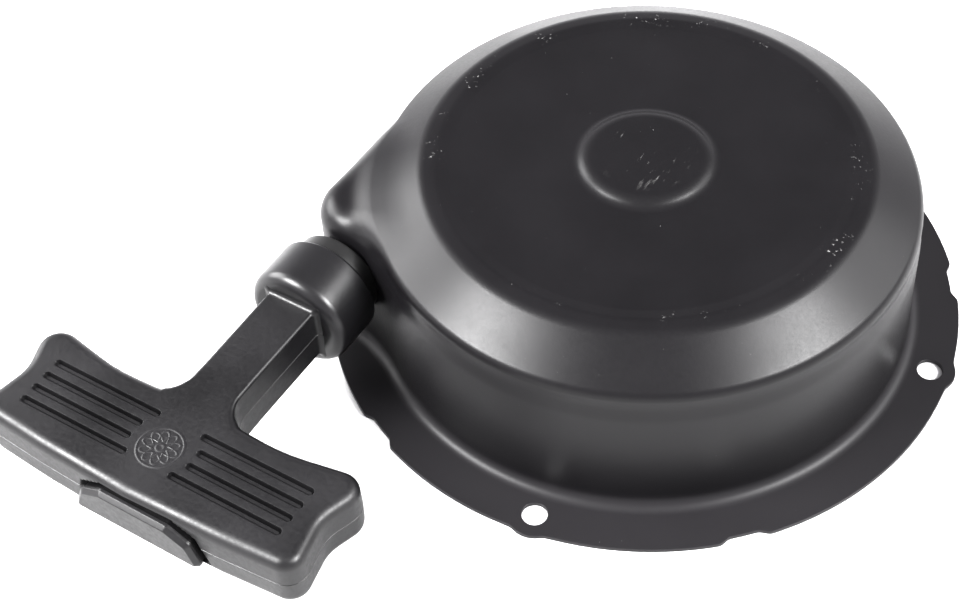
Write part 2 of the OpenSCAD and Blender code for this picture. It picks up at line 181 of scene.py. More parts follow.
def maths(tree, operation, a, b=None, c=None, clamp=False):
    node = add(tree, "ShaderNodeMath", operation=operation, use_clamp=clamp)
    for socket, value in zip(node.inputs, (a, b, c)):
        if value is None:
            continue
        if isinstance(value, (int, float)):
            socket.default_value = value
        else:
            tree.links.new(value, socket)
    return node.outputs[0]


def noise(tree, where, scale, detail=3.0, roughness=0.5, stretch=None):
    vector = where
    if stretch:
        mapping = add(tree, "ShaderNodeMapping", Scale=stretch)
        tree.links.new(where, mapping.inputs["Vector"])
        vector = mapping.outputs[0]
    node = add(tree, "ShaderNodeTexNoise", Scale=scale, Detail=detail, Roughness=roughness)
    tree.links.new(vector, node.inputs["Vector"])
    return node.outputs["Fac"]


def remap(tree, value, low, high, to_low, to_high):
    node = add(tree, "ShaderNodeMapRange")
    for socket, number in zip(node.inputs[1:5], (low, high, to_low, to_high)):
        socket.default_value = number
    tree.links.new(value, node.inputs[0])
    return node.outputs[0]


def mix(tree, factor, a, b):
    node = add(tree, "ShaderNodeMix", data_type="RGBA")
    for socket, value in ((node.inputs[0], factor), (node.inputs[6], a), (node.inputs[7], b)):
        if isinstance(value, (tuple, float)):
            socket.default_value = value
        else:
            tree.links.new(value, socket)
    return node.outputs[2]


def surface(name, colour, rough, metallic=0.0, tint=0.25, rough_spread=0.08, grain=700.0, bump=0.05,
            stretch=None, details=None, specular=0.5, depth=0.0002):
    """Procedural finish: colour and roughness that vary over two scales, with a fine bump."""
    mat = bpy.data.materials.new(name)
    mat.use_nodes = True
    tree = mat.node_tree
    shader = tree.nodes["Principled BSDF"]
    where = add(tree, "ShaderNodeTexCoord").outputs["Object"]
    broad = noise(tree, where, 35.0, 4.0)
    fine = noise(tree, where, grain, 3.0, 0.6, stretch)
    dark = tuple(c * (1 - tint) for c in colour) + (1.0,)
    light = tuple(min(1.0, c * (1 + tint)) for c in colour) + (1.0,)
    base = mix(tree, remap(tree, broad, 0.3, 0.7, 0.0, 1.0), dark, light)
    half = rough_spread / 2
    roughness = maths(tree, "ADD", remap(tree, broad, 0.3, 0.7, rough - half, rough + half),
                      remap(tree, fine, 0.3, 0.7, -half, half))
    relief = fine
    if details:
        base, roughness, relief = details(tree, where, base, roughness, fine)
    tree.links.new(base, shader.inputs["Base Color"])
    tree.links.new(roughness, shader.inputs["Roughness"])
    shader.inputs["Metallic"].default_value = metallic
    shader.inputs["Specular IOR Level"].default_value = specular
    height = add(tree, "ShaderNodeBump", Strength=bump, Distance=depth)
    tree.links.new(relief, height.inputs["Height"])
    tree.links.new(height.outputs[0], shader.inputs["Normal"])
    return mat


def radius_from_axis(tree, where):
    parts = add(tree, "ShaderNodeSeparateXYZ")
    tree.links.new(where, parts.inputs[0])
    flat = maths(tree, "ADD", maths(tree, "MULTIPLY", parts.outputs[0], parts.outputs[0]),
                 maths(tree, "MULTIPLY", parts.outputs[1], parts.outputs[1]))
    return maths(tree, "SQRT", flat), parts.outputs[2]


def near(tree, value, centre, half):
    """1 at centre, falling to 0 at half away from it."""
    away = maths(tree, "ABSOLUTE", maths(tree, "SUBTRACT", value, centre))
    return remap(tree, away, 0.0, half, 1.0, 0.0)


DISC_TOP = (0.050, 0.0525)                     # wear on the closed end fades in between these heights
RIM_R, RIM_BAND, BOSS_R = 0.0575, 0.0032, 0.014
BARE_GREY = (0.34, 0.34, 0.33, 1.0)
FLANGE_DUST = (0.0120, 0.0113, 0.0125, 1.0)


def enamel_wear(tree, where, base, roughness, fine):
    """Chips along the rim of the sunk disc, scuffs on the boss, sparse specks and dust on the flange."""
    radius, height = radius_from_axis(tree, where)
    top = remap(tree, height, *DISC_TOP, 0.0, 1.0)
    rim = near(tree, radius, RIM_R, RIM_BAND)
    flakes = remap(tree, noise(tree, where, 700.0, 4.0, 0.7), 0.61, 0.68, 0.0, 0.55)
    patches = remap(tree, noise(tree, where, 90.0, 2.0), 0.54, 0.62, 0.0, 1.0)
    chips = maths(tree, "MULTIPLY", flakes, rim)
    worn = maths(tree, "MULTIPLY", chips, maths(tree, "MULTIPLY", patches, top))
    scuff = remap(tree, noise(tree, where, 420.0, 5.0, 0.75, (1.0, 0.16, 1.0)), 0.59, 0.67, 0.0, 0.5)
    boss = maths(tree, "MULTIPLY", near(tree, radius, 0.0, BOSS_R), scuff)
    specks = remap(tree, noise(tree, where, 1500.0, 2.0, 0.5), 0.79, 0.82, 0.0, 0.5)
    mark = maths(tree, "MAXIMUM", maths(tree, "MAXIMUM", worn, boss), specks)
    base = mix(tree, remap(tree, height, 0.002, 0.006, 0.75, 0.0), base, FLANGE_DUST)
    base = mix(tree, mark, base, BARE_GREY)
    low_wall = remap(tree, height, 0.004, 0.026, 0.08, 0.0)
    matt = maths(tree, "ADD", maths(tree, "MULTIPLY", mark, 0.25), low_wall)
    return base, maths(tree, "ADD", roughness, matt, clamp=True), fine


BRAID_PITCH = 0.0034                           # metres along the rope from one plait to the next
# the first colour is painted shade for the valleys between plaits; the second is the tracer yarn's own colour
VALLEY_SHADE, TRACER = (0.16, 0.15, 0.13, 1.0), (0.03, 0.035, 0.05, 1.0)


def braid(tree, where, base, roughness, fine, coiled):
    """Plaited strands: raised diamonds round and along the rope, painted shade in the valleys between them, and
    a tracer yarn.
    """
    parts = add(tree, "ShaderNodeSeparateXYZ")
    tree.links.new(where, parts.inputs[0])
    x, y, z = parts.outputs
    rise = maths(tree, "SUBTRACT", z, ROPE_Z * MM)
    if coiled:
        reach = maths(tree, "SUBTRACT", radius_from_axis(tree, where)[0], -ROPE_X * MM)
        side = maths(tree, "WRAP", reach, -ROPE_PITCH / 2, c=ROPE_PITCH / 2)
        along = maths(tree, "MULTIPLY", maths(tree, "ARCTAN2", y, x), 0.06)
    else:
        side, along = maths(tree, "SUBTRACT", x, ROPE_X * MM), y
    turn = maths(tree, "MULTIPLY", maths(tree, "ARCTAN2", rise, side), 6.0)
    pitch = maths(tree, "MULTIPLY", along, 2 * math.pi / BRAID_PITCH)
    plait = maths(tree, "MULTIPLY", maths(tree, "COSINE", turn), maths(tree, "COSINE", pitch))
    tracer = maths(tree, "COSINE", maths(tree, "ADD", turn, pitch))
    height = remap(tree, plait, -1.0, 1.0, 0.0, 1.0)
    # painted shade: the valleys between the plaits are darkened, following the plait height
    base = mix(tree, height, VALLEY_SHADE, base)
    base = mix(tree, remap(tree, tracer, 0.86, 0.95, 0.0, 0.7), base, TRACER)
    return base, roughness, maths(tree, "ADD", height, maths(tree, "MULTIPLY", fine, 0.25))


def straight_braid(tree, where, base, roughness, fine):
    return braid(tree, where, base, roughness, fine, False)


def coiled_braid(tree, where, base, roughness, fine):
    return braid(tree, where, base, roughness, fine, True)


ROPE_COLOUR = (0.55, 0.53, 0.48)
BRAIDED = {"rough": 0.85, "grain": 2600.0, "bump": 1.0, "depth": 0.0005}
FINISHES = {
    "case_paint": surface("case_paint", (0.0040, 0.0037, 0.0043), 0.35, tint=0.12, rough_spread=0.05,
                          grain=1100.0, bump=0.05, details=enamel_wear, specular=0.2),
    "grip_plastic": surface("grip_plastic", (0.0040, 0.0038, 0.0043), 0.41, tint=0.35, rough_spread=0.12,
                            grain=900.0, specular=0.36),
    "grip_plastic_gloss": surface("grip_plastic_gloss", (0.0048, 0.0046, 0.0052), 0.33, tint=0.15,
                                  rough_spread=0.05, grain=900.0, bump=0.03, specular=0.36),
    "guide_nylon": surface("guide_nylon", (0.005, 0.005, 0.005), 0.33, tint=0.2, grain=800.0),
    "drum_nylon": surface("drum_nylon", (0.012, 0.012, 0.0135), 0.45, tint=0.2, grain=1200.0, bump=0.1),
    "machined_steel": surface("machined_steel", (0.5, 0.5, 0.49), 0.28, 1.0, grain=1500.0, bump=0.08,
                              stretch=(1, 1, 6)),
    "zinc_steel": surface("zinc_steel", (0.6, 0.6, 0.57), 0.34, 1.0, grain=900.0, bump=0.06),
    "spring_steel": surface("spring_steel", (0.28, 0.29, 0.32), 0.30, 1.0, grain=1200.0,
                            stretch=(1, 1, 0.2)),
    "rope_fibre": surface("rope_fibre", ROPE_COLOUR, 0.85, grain=2600.0, bump=0.5),
    "rope_fibre_run": surface("rope_fibre_run", ROPE_COLOUR, details=straight_braid, **BRAIDED),
    "rope_fibre_coil": surface("rope_fibre_coil", ROPE_COLOUR, details=coiled_braid, **BRAIDED),
}


def place(obj, body, finish, *replaced):
    """Puts a piece on its body with its finish; a piece given a pair of bodies only has its transform baked."""
    obj.data.materials.clear()
    obj.data.materials.append(FINISHES[finish])
    if isinstance(body, str):
        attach(obj, body)
    else:
        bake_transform(obj)
    if replaced:
        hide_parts(*replaced)
    return obj


# ---------- case ----------

WALL_R, WALL_FOOT_Z, FILLET = 75.8, 4.8, 3.6
PROFILE = [
    [0, 55.9, 0], [16.2, 55.9, 6], [19, 53.9, 4.5], [53.6, 53.9, 6], [57, 54.4, 6], [61.2, 53.8, 6.5],
    [74.9, 44.7, 3.4], [74.55, 40.3, 16], [75.15, 35.6, 16], [WALL_R, WALL_FOOT_Z, 0],
]
FAN_R, FAN_Z = 48.0, 24.0          # rows of the side fan out from this ring inside the case
FLANK, CORNER, END_Y = math.radians(177.8), (-65.0, -41.5), -54.0
CORNER_R, EDGE_R, POCKET_Z = 12.5, 6.4, 44.0
POCKET_FROM, POCKET_TO = 168.0, 240.0
VALLEY_SOFT = (0.05, 8.0)          # radius of the valley between case and pocket: at the flank, added elsewhere
FLANK_SUNK = 2.6                   # how far inside the wall the pocket's flank starts
FLANGE_R, HOLE_AT, HOLE_R, HOLE_ANGLE = 90.0, 84.4, 3.5, 9.4
EAR_R, SKIRT = 7.0, 8.0                      # flange round each hole, and its width round the pocket
NOTCHES, NOTCH_DEPTH = (31.9, 245.1, 316.4), 1.6


def smoothstep(x, a, b):
    t = np.clip((x - a) / (b - a), 0, 1)
    return t * t * (3 - 2 * t)


def plan_distance(x, y):
    """Distance in plan from the pocket's outline, negative inside it."""
    a = x * math.cos(FLANK) + y * math.sin(FLANK) - WALL_R
    b = END_Y - y
    both = (a > -CORNER_R) & (b > -CORNER_R)
    return np.where(both, np.hypot(x - CORNER[0], y - CORNER[1]) - CORNER_R, np.maximum(a, b))


def pocket_distance(x, y, z):
    q1, q2 = plan_distance(x, y) + EDGE_R, z - POCKET_Z + EDGE_R
    return np.hypot(np.maximum(q1, 0), np.maximum(q2, 0)) + np.minimum(np.maximum(q1, q2), 0) - EDGE_R


def profile_distance(r, z, line):
    """Signed distance from the turned profile, negative inside the case."""
    p = np.stack([r, z], -1)[..., None, :]
    a, b = line[:-1], line[1:]
    ab = b - a
    t = np.clip(((p - a) * ab).sum(-1) / (ab * ab).sum(-1), 0, 1)
    gap = p - (a + t[..., None] * ab)
    length = np.sqrt((gap * gap).sum(-1)).min(-1)
    # a point is inside when a level line from it to the outside crosses the profile an odd number of times
    height, across = p[..., 1], p[..., 0]
    spans = (a[:, 1] > height) != (b[:, 1] > height)
    slope = np.where(ab[:, 1] == 0, 1e-12, ab[:, 1])
    cuts = spans & (across < a[:, 0] + (height - a[:, 1]) * ab[:, 0] / slope)
    return np.where(cuts.sum(-1) % 2 == 1, -length, length)


def case_distance(r, z, angle, line):
    """Case and pocket joined with a soft valley that fades out where the flank leaves the wall."""
    x, y = r * np.cos(angle), r * np.sin(angle)
    turn = np.degrees(angle)
    soft = VALLEY_SOFT[0] + VALLEY_SOFT[1] * smoothstep(turn, 182, 205)
    sunk = FLANK_SUNK * (1 - smoothstep(turn, 172, 196))
    a, b = profile_distance(r, z, line), pocket_distance(x, y, z) + sunk
    return np.maximum(soft, np.minimum(a, b)) - np.hypot(np.maximum(soft - a, 0), np.maximum(soft - b, 0))


def solve(start, step, distance, level, reach):
    """Point on each ray where distance(radius, height) is the wanted level."""
    low, high = np.zeros(start.shape[:-1]) + reach[0], np.zeros(start.shape[:-1]) + reach[1]
    for _ in range(26):
        mid = (low + high) / 2
        p = start + mid[..., None] * step
        inside = distance(p[..., 0], p[..., 1]) < level
        low, high = np.where(inside, mid, low), np.where(inside, high, mid)
    return start + ((low + high) / 2)[..., None] * step


def case_rows(line, rows, angles, level):
    """Radius and height of the skin at every row and angle, level mm from the outer surface."""
    fan = np.stack([np.maximum(rows[:, 0] - FAN_R, 0), np.maximum(rows[:, 1] - FAN_Z, 0)], -1)
    fan /= np.linalg.norm(fan, axis=1)[:, None]
    turns = np.degrees(angles)
    near_pocket = (turns > POCKET_FROM) & (turns < POCKET_TO)
    out = np.zeros((len(rows), len(angles), 2))
    plain = rows
    if level:
        plain = solve(rows, fan, lambda r, z: profile_distance(r, z, line), level, (-4, 0.5))
    out[:] = plain[:, None, :]
    start = np.repeat(rows[:, None, :], near_pocket.sum(), 1)
    step = np.repeat(fan[:, None, :], near_pocket.sum(), 1)
    angle = np.broadcast_to(angles[near_pocket], start.shape[:-1])
    reach = (-4 if level else -0.01, 32)
    out[:, near_pocket] = solve(start, step, lambda r, z: case_distance(r, z, angle, line), level, reach)
    return out


def foot_rows(radius, angles, fillet):
    """Fillet that turns the wall out into the flange, square to the wall's plan."""
    span = (np.roll(angles, -1) - np.roll(angles, 1)) % (2 * math.pi)
    slope = (np.roll(radius, -1) - np.roll(radius, 1)) / span
    lean = np.sqrt(1 + (slope / radius) ** 2)
    out = []
    for a in np.radians(np.arange(10, 91, 10)):
        out.append(np.stack([radius + fillet * (1 - math.cos(a)) * lean,
                             np.full_like(radius, WALL_FOOT_Z - fillet * math.sin(a))], -1))
    return np.array(out)


def flange_outline(turns):
    angles = np.radians(turns)
    radius = np.full_like(turns, FLANGE_R)
    for notch in NOTCHES:
        off = np.abs((turns - notch + 180) % 360 - 180) * math.radians(1) * FLANGE_R
        radius -= NOTCH_DEPTH * (1 - smoothstep(off, 3.6, 7.4))
    ear = np.zeros_like(turns)
    for k in range(4):
        off = (angles - math.radians(HOLE_ANGLE + 90 * k) + math.pi) % (2 * math.pi) - math.pi
        side = EAR_R ** 2 - (HOLE_AT * np.sin(off)) ** 2
        reach = HOLE_AT * np.cos(off) + np.sqrt(np.maximum(side, 0))
        ear = np.maximum(ear, np.where((np.cos(off) > 0) & (side > 0), reach, 0))
    radius = (radius + ear + np.sqrt((radius - ear) ** 2 + 0.3)) / 2
    low, high = np.full_like(turns, 70.0), np.full_like(turns, 110.0)
    for _ in range(30):
        mid = (low + high) / 2
        inside = plan_distance(mid * np.cos(angles), mid * np.sin(angles)) < SKIRT
        low, high = np.where(inside, mid, low), np.where(inside, high, mid)
    skirt = np.where((turns > 190) & (turns < 240), low, 0)
    return (radius + skirt + np.sqrt((radius - skirt) ** 2 + 0.5)) / 2


def polar_points(radius, angles, z):
    z = np.broadcast_to(z, radius.shape)
    return np.stack([radius * np.cos(angles), radius * np.sin(angles), z], -1)


def build_case():
    """Pressed sheet with pocket, flange, ears, notches and holes, as one closed skin."""
    line = np.concatenate([rounded_path(PROFILE, turn=6, longest=60), [[WALL_R, -60]]])
    rows = rounded_path(PROFILE, turn=4, longest=3.5)
    dense = [rows[0]]
    for p in rows[1:]:
        gap = np.linalg.norm(p - dense[-1])
        limit = 0.85 if FAN_Z < p[1] < 45.5 else 3.5
        last, cuts = dense[-1], max(1, math.ceil(gap / limit))
        dense += [last + (p - last) * k / cuts for k in range(1, cuts + 1)]
    rows = np.array(dense)[1:]
    fine = np.arange(POCKET_FROM, POCKET_TO, 0.6)
    turns = np.concatenate([np.arange(POCKET_TO - 360, POCKET_FROM, 1.0), fine])
    turns = np.sort(turns % 360)
    turns = turns[np.concatenate([[True], np.diff(turns) > 0.1])]
    angles = np.radians(turns)
    n = len(turns)

    verts, faces = [], []

    def put(points):
        start = sum(len(v) for v in verts)
        verts.append(np.asarray(points, float).reshape(-1, 3))
        return start

    rings = {}
    for side, level, fillet in (("out", 0.0, FILLET), ("in", -SHEET, FILLET + SHEET)):
        skin = case_rows(line, rows, angles, level)
        every = np.concatenate([skin, foot_rows(skin[-1, :, 0], angles, fillet)])
        start = put(polar_points(every[..., 0], angles, every[..., 1]))
        centre = put([[0, 0, PROFILE[0][1] + level]])
        faces += [f if side == "out" else f[::-1] for f in grid_faces(len(every), n, start)]
        faces += [(centre, start + (c + 1) % n, start + c) for c in range(n)]
        rings[side] = start + (len(every) - 1) * n

    edge_turns = np.arange(0, 360, 0.3)
    edge_angles = np.radians(edge_turns)
    edge = flange_outline(edge_turns)
    m, chamfer, hole_steps = len(edge), 0.14, 40
    hole_angles = np.arange(hole_steps) * 2 * math.pi / hole_steps

    def hole_ring(k, radius, z):
        a = math.radians(HOLE_ANGLE + 90 * k)
        return np.stack([HOLE_AT * math.cos(a) + radius * np.cos(hole_angles),
                         HOLE_AT * math.sin(a) + radius * np.sin(hole_angles), np.full(hole_steps, z)], -1)

    edge_rows, hole_rows = [], [[] for _ in range(4)]
    for z, inset in ((SHEET, chamfer), (SHEET - chamfer, 0), (chamfer, 0), (0.0, chamfer)):
        edge_rows.append(put(polar_points(edge - inset, edge_angles, z)))
        for k in range(4):
            hole_rows[k].append(put(hole_ring(k, HOLE_R + inset, z)))
    for a, b in zip(edge_rows, edge_rows[1:]):
        faces += [(a + c, a + (c + 1) % m, b + (c + 1) % m, b + c) for c in range(m)]
    for k in range(4):
        for a, b in zip(hole_rows[k], hole_rows[k][1:]):
            for c in range(hole_steps):
                after = (c + 1) % hole_steps
                faces.append((a + c, b + c, b + after, a + after))
    everything = np.concatenate(verts)
    for side, row in (("out", 0), ("in", 3)):
        ids = [list(range(edge_rows[row], edge_rows[row] + m))]
        ids += [list(range(hole_rows[k][row], hole_rows[k][row] + hole_steps)) for k in range(4)]
        ids.append(list(range(rings[side], rings[side] + n)))
        flat = [i for ring in ids for i in ring]
        faces += [tuple(flat[i] for i in f) for f in fill([everything[ring] for ring in ids])]
    return make_object("case_shell", everything, faces, sharp=38)


place(build_case(), "case", "case_paint", "case")


# ---------- grip ----------

GRIP_HALF = [
    [7.8, 73.3, 1.5], [7.6, 104, 40], [7.8, 117.2, 7], [27, 118, 60], [54, 113.2, 6], [48, 130.5, 12],
    [51.2, 147, 5.5],
]
GRIP_FRONT = 150.8
GRIP_HALF_T = 8.5
COLLAR_FACE, FLARE = 77.3, 1.5
# each slot's place along the rope line and its inner end's distance from it
SLOT_ROWS = ((125.5, 6.7), (130.1, 8.9), (134.6, 9.0), (139.1, 6.8))
SLOT_OUTER, SLOT_HALF = 40.4, 1.05
# rings of a slot: how far outside its outline and how deep they lie, at the rear and at the front
SLOT_LIPS = (
    (0.24, 0.0, 0.34, 0.0), (0.10, 0.04, 0.14, 0.05), (0.03, 0.5, -0.06, 0.25), (0.0, 1.4, -0.26, 0.6),
    (-0.2, 1.75, -0.46, 0.8), (-0.42, 1.4, -0.58, 0.88), (-0.62, 0.95, -0.7, 0.9),
)
PLATE_SHIFT, PLATE_Z = 3.5, 20.7
PLATE = [
    [-20.5, 0, 1.7], [20.5, 0, 1.7], [17.2, 8.3, 2.5], [10.5, 11.5, 2.5],
    [-10.5, 11.5, 2.5], [-17.2, 8.3, 2.5],
]
RECESS_DEPTH = 2.6
BAR_EDGE, STEM_EDGE = 3.1, 1.1     # edge radii
DRAFT, LOW_DRAFT = 0.2, 0.1        # how far the sides lean in, above and below the parting line
SEAM_HALF, SEAM_DEPTH = 0.16, 0.26
EMBLEM_R, EMBLEM_Y, EMBLEM_RELIEF = 6.9, 133.7, 0.13


def grip_outline():
    right = [[x, -y, r] for x, y, r in GRIP_HALF]
    left = [[-x, -y, r] for x, y, r in GRIP_HALF[::-1]]
    path = rounded_path(right + [[0, -GRIP_FRONT, 380]] + left, closed=True, turn=6, longest=0.9)
    # shorter steps where the stem spreads into the collar and round the cover plate
    out = []
    for p, q in zip(path, np.roll(path, -1, 0)):
        out.append(p)
        x, y = (p + q) / 2
        if -80.2 < y < -76.5 or y < -146 and -20 < x < 27:
            out += [p + (q - p) * k / 4 for k in (1, 2, 3)]
    return np.array(out)


def inset(path, d):
    before, after = path - np.roll(path, 1, 0), np.roll(path, -1, 0) - path
    way = before / np.linalg.norm(before, axis=1)[:, None] + after / np.linalg.norm(after, axis=1)[:, None]
    way /= np.linalg.norm(way, axis=1)[:, None]
    return path + np.reshape(d, (-1, 1)) * np.stack([way[:, 1], -way[:, 0]], -1)


def clockwise(path):
    area = np.sum(path[:, 0] * np.roll(path[:, 1], -1) - np.roll(path[:, 0], -1) * path[:, 1])
    return path[::-1] if area > 0 else path


def flare(y):
    """How far the stem spreads as it meets the face of the seat collar."""
    t = np.clip(y + COLLAR_FACE + FLARE, 0, FLARE)
    return FLARE - np.sqrt(FLARE ** 2 - t ** 2)


def recess(x, y, z):
    """How far the bar's front is set back round the cover plate."""
    corners = np.array([[c[0] + PLATE_SHIFT, c[1] + PLATE_Z] for c in PLATE])
    p = np.stack([x, z], -1)[:, None, :]
    a, ab = corners, np.roll(corners, -1, 0) - corners
    t = np.clip(((p - a) * ab).sum(-1) / (ab * ab).sum(-1), 0, 1)
    gap = p - (a + t[..., None] * ab)
    away = np.sqrt((gap * gap).sum(-1)).min(-1)
    inner = ((p - a) * np.stack([-ab[:, 1], ab[:, 0]], -1)).sum(-1).min(-1) > 0
    away = np.where(inner, 0, away)
    depth = RECESS_DEPTH * (1 - smoothstep(away, 0.7, 1.3))
    depth *= smoothstep(z, 21.2, 22.2) * smoothstep(x, -16.5, -11)
    return np.where(y < -145, depth, 0)


def slot_ring(row, side, rear, front):
    """Round-ended outline of a slot, spread by `rear` and `front` on its two long sides."""
    y, inner = SLOT_ROWS[row]
    y -= (rear - front) / 2
    half = SLOT_HALF + (rear + front) / 2
    x0, x1 = inner + SLOT_HALF, SLOT_OUTER
    a = np.radians(np.arange(90, 271, 15))
    ring = np.concatenate([
        np.stack([x0 + half * np.cos(a), -y + half * np.sin(a)], -1),
        np.stack([np.linspace(x0, x1, 16)[1:-1], np.full(14, -y - half)], -1),
        np.stack([x1 - half * np.cos(a), -y - half * np.sin(a)], -1),
        np.stack([np.linspace(x1, x0, 16)[1:-1], np.full(14, -y + half)], -1),
    ])
    return ring * [side, 1]


def build_grip():
    """T handle: stacked outlines with rounded edges and a parting groove, and slots sunk in its top."""
    path = clockwise(grip_outline())
    n = len(path)
    in_stem = smoothstep(path[:, 1], -120, -113) * (np.abs(path[:, 0]) < 12)
    edge = BAR_EDGE - (BAR_EDGE - STEM_EDGE) * in_stem
    top = GRIP_HALF_T
    arc = np.radians(np.arange(0, 91, 10))

    def side_layers(lean):
        rows = [(h, lean * h / (top - BAR_EDGE)) for h in (0.7, 1.3, 2.0, 2.7, 3.4, 4.1, 4.8)]
        return rows + [((top - edge) + edge * math.sin(a), lean + edge * (1 - math.cos(a))) for a in arc]

    layers = [(-h, d) for h, d in side_layers(LOW_DRAFT)[::-1]]
    layers += [(-SEAM_HALF, 0.0), (0.0, SEAM_DEPTH), (SEAM_HALF, 0.0)]
    layers += side_layers(DRAFT)
    verts, faces = [], []

    def put(xy, h, set_back=False):
        start = sum(len(v) for v in verts)
        xy = np.array(xy, float)
        h = np.broadcast_to(h, xy[:, 0].shape)
        lift = flare(xy[:, 1])
        x = xy[:, 0] + np.sign(xy[:, 0]) * lift * np.clip(np.abs(xy[:, 0]) / 6, 0, 1)
        y = xy[:, 1] + (recess(xy[:, 0], xy[:, 1], ROPE_Z + h) if set_back else 0)
        verts.append(np.stack([x + ROPE_X, y, ROPE_Z + h * (1 + lift / top)], -1))
        return start

    starts = [put(inset(path, d), h, True) for h, d in layers]
    for a, b in zip(starts, starts[1:]):
        faces += [(a + c, a + (c + 1) % n, b + (c + 1) % n, b + c) for c in range(n)]

    slots = []
    for row in range(4):
        for side in (-1, 1):
            shapes, rings = [], []
            for rear, rear_depth, front, front_depth in SLOT_LIPS:
                ring = slot_ring(row, side, rear, front)
                across = ring[:, 1]
                back = smoothstep(across, across.min(), across.max())
                shapes.append(ring)
                rings.append(put(ring, top - front_depth - back * (rear_depth - front_depth)))
            k = len(shapes[0])
            for a, b in zip(rings, rings[1:]):
                faces += [(a + c, a + (c + 1) % k, b + (c + 1) % k, b + c) for c in range(k)]
            faces.append(tuple(range(rings[-1], rings[-1] + k)))
            slots.append((rings[0], k, shapes[0]))
    # points inside the stem's flat faces follow its spread at the collar
    ys = np.concatenate([np.linspace(76, 79, 11), np.arange(80, 118, 2.0)])
    inner = [[u, -y] for y in ys for u in (-4.5, -1.5, 1.5, 4.5)]
    upper = (top, starts[-1], layers[-1][1], slots)
    lower = (-top, starts[0], layers[0][1], [])
    for h, start, d, holes in (upper, lower):
        middle = put(inner, h)
        ids = list(range(start, start + n))
        for first, k, _ in holes:
            ids += list(range(first, first + k))
        ids += list(range(middle, middle + len(inner)))
        rings = [inset(path, d)] + [ring for *_, ring in holes]
        faces += [tuple(ids[i] for i in f) for f in fill(rings, inner)]
    return make_object("grip_bar", np.concatenate(verts), faces, sharp=50, weighted=True)


place(build_grip(), "handle", "grip_plastic", "grip")

collar = rounded_path([
    [3.0, 69.4, 0], [3.0, 76.5, 0], [8.0, COLLAR_FACE, 0.4], [15.4, COLLAR_FACE, 3.3], [15.4, 61.2, 1.0],
    [13.4, 61.2, 0.5], [13.4, 69.4, 0.6],
], closed=True, turn=9, longest=3)
place(lathe("grip_collar", collar, "rope", (ROPE_X, 0, ROPE_Z), sharp=40), "handle", "grip_plastic_gloss")


def build_cover():
    """Plug behind the face plate, whose outer edge is cut off at a slant."""
    corners = [[x + PLATE_SHIFT, z + PLATE_Z, r] for x, z, r in PLATE]
    outline = clockwise(rounded_path(corners, closed=True, turn=12, longest=1.5))
    k = len(outline)
    # how far along the rope line each outline stands, and how far it is set in
    rows = [
        (145.5, 0.5), (149.2, 0.5), (149.3, 0.12), (149.5, 0.0), (150.3, 0.0), (150.45, 0.06), (151.4, 0.95),
        (151.52, 1.06), (151.6, 1.25),
    ]
    verts = []
    for y, d in rows:
        ring = inset(outline, d)
        verts.append(np.stack([ring[:, 0] + ROPE_X, np.full(k, -y), ring[:, 1]], -1))
    faces = grid_faces(len(rows), k) + [tuple(range(k)), tuple(range((len(rows) - 1) * k, len(rows) * k))]
    return make_object("grip_cover_plate", np.concatenate(verts), faces, sharp=30, weighted=True)


place(build_cover(), "handle", "grip_plastic", "grip_cover")


def build_emblem():
    """Low rosette inside a ring, moulded on the bar's top."""
    r, a = np.meshgrid(np.linspace(0, EMBLEM_R, 70), np.radians(np.arange(0, 360, 2)), indexing="ij")

    def bead(off, half):
        return np.clip(1 - (off / half) ** 2, 0, 1) ** 2

    leaf = np.maximum(bead(r - 3.7 - 1.5 * np.cos(5 * a), 0.6), bead(r - 3.7 + 1.5 * np.cos(5 * a), 0.6))
    rings = np.maximum(bead(r - 6.1, 0.5), bead(r - 1.0, 0.6))
    height = EMBLEM_RELIEF * np.maximum(rings, leaf) - 0.06 * smoothstep(r, 6.6, EMBLEM_R)
    x, y = r * np.cos(a), r * np.sin(a)
    verts = np.stack([x + ROPE_X, y - EMBLEM_Y, ROPE_Z + GRIP_HALF_T + 0.01 + height], -1)
    rows, cols = r.shape
    low = verts[-1].copy()
    low[:, 2] -= 0.4
    verts = np.concatenate([verts.reshape(-1, 3), low])
    faces = grid_faces(rows + 1, cols) + [tuple(range(rows * cols, rows * cols + cols))]
    return make_object("grip_emblem", verts, faces, sharp=60)


place(build_emblem(), "handle", "grip_plastic")

# ---------- rope guide ----------

guide = rounded_path([
    [4.25, 48, 0], [7, 48, 0.3], [7, 54.05, 0], [9.5, 54.05, 0], [9.5, 55.8, 0.3], [13, 55.8, 0.8],
    [13, 68, 0.9], [4.25, 68, 0],
], closed=True, turn=12, longest=3)
guide_body = lathe("rope_guide_body", guide, "rope", (ROPE_X, 0, ROPE_Z), sharp=40)
place(guide_body, "case", "guide_nylon", "rope_guide")

pad = rounded_path([[0.5, 44, 0], [9.5, 44, 0], [9.5, 54.1, 0.6], [0.5, 54.1, 0]], turn=15, longest=3)
place(lathe("case_outlet_pad", pad, "rope", (ROPE_X, 0, ROPE_Z), sharp=40), "case", "case_paint")

# ---------- rope ----------

ROPE_R = 2.5


